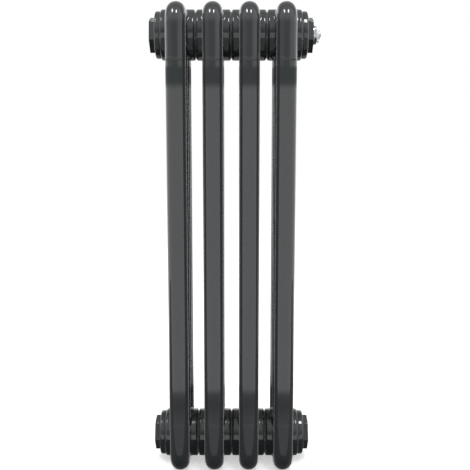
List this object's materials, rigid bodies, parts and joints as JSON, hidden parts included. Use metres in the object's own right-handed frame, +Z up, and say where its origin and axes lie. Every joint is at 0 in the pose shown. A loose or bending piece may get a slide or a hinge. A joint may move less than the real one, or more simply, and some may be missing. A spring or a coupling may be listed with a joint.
{
  "type": "column radiator",
  "caption": "Steel column radiator of upright tubes between rounded heads joined at hubs, with hexagonal end bushes, lower pipe ports and a bleed vent at the top.",
  "frame": {"origin": "on the floor plane, midway front to back, below the middle of the overall width from the blanked end bushes to the tip of the vent", "axes": "+Z up along the tubes, +X along the row of sections towards the vent, -Y is the front"},
  "size_m": [0.2178, 0.139, 0.6],
  "materials": {
    "enamel": "gloss anthracite powder coat",
    "nipple_steel": "turned, unpainted",
    "gasket": "pressed fibre and rubber sheet",
    "seal_rubber": "moulded",
    "chrome": "polished chrome plate",
    "spring_steel": "bright",
    "white_plastic": "moulded, slightly translucent",
    "brass": "turned"
  },
  "bodies": {
    "radiator": {"section_1_top_head": "enamel", "section_2_top_head": "enamel", "section_3_top_head": "enamel", "section_4_top_head": "enamel", "section_1_bottom_head": "enamel", "section_2_bottom_head": "enamel", "section_3_bottom_head": "enamel", "section_4_bottom_head": "enamel", "section_1_tube_1": "enamel", "section_1_tube_2": "enamel", "section_1_tube_3": "enamel", "section_1_tube_4": "enamel", "section_2_tube_1": "enamel", "section_2_tube_2": "enamel", "section_2_tube_3": "enamel", "section_2_tube_4": "enamel", "section_3_tube_1": "enamel", "section_3_tube_2": "enamel", "section_3_tube_3": "enamel", "section_3_tube_4": "enamel", "section_4_tube_1": "enamel", "section_4_tube_2": "enamel", "section_4_tube_3": "enamel", "section_4_tube_4": "enamel", "top_nipple_1": "nipple_steel", "top_nipple_2": "nipple_steel", "top_nipple_3": "nipple_steel", "bottom_nipple_1": "nipple_steel", "bottom_nipple_2": "nipple_steel", "bottom_nipple_3": "nipple_steel", "top_gasket_1": "gasket", "top_gasket_2": "gasket", "top_gasket_3": "gasket", "bottom_gasket_1": "gasket", "bottom_gasket_2": "gasket", "bottom_gasket_3": "gasket", "top_left_end_gasket": "gasket", "top_right_end_gasket": "gasket", "bottom_left_end_gasket": "gasket", "bottom_right_end_gasket": "gasket", "blanking_plug": "enamel", "vent_bush": "enamel", "left_port_bush": "enamel", "right_port_bush": "enamel", "vent_body": "chrome", "vent_o_ring": "seal_rubber", "vent_retaining_clip": "spring_steel"},
    "outlet_ring": {"vent_outlet_ring": "white_plastic"},
    "seal_pad": {"bleed_seal_pad": "seal_rubber"},
    "bleed_screw": {"bleed_screw": "brass", "bleed_screw_o_ring": "seal_rubber"}
  },
  "joints": [
    {"name": "outlet_swivel", "type": "hinge", "parent": "radiator", "child": "outlet_ring", "pos_m": [0.0981, 0, 0.565], "axis": [1, 0, 0], "continuous": true},
    {"name": "bleed_lift", "type": "slide", "parent": "radiator", "child": "seal_pad", "axis": [1, 0, 0], "range_m": [0, 0.0008]},
    {"name": "bleed_turn", "type": "hinge", "parent": "seal_pad", "child": "bleed_screw", "pos_m": [0.0981, 0, 0.565], "axis": [1, 0, 0], "range_deg": [0, 360]}
  ],
  "couplings": [
    {"joint": "bleed_turn", "follows": "bleed_lift", "rad_per_m": 7854}
  ]
}
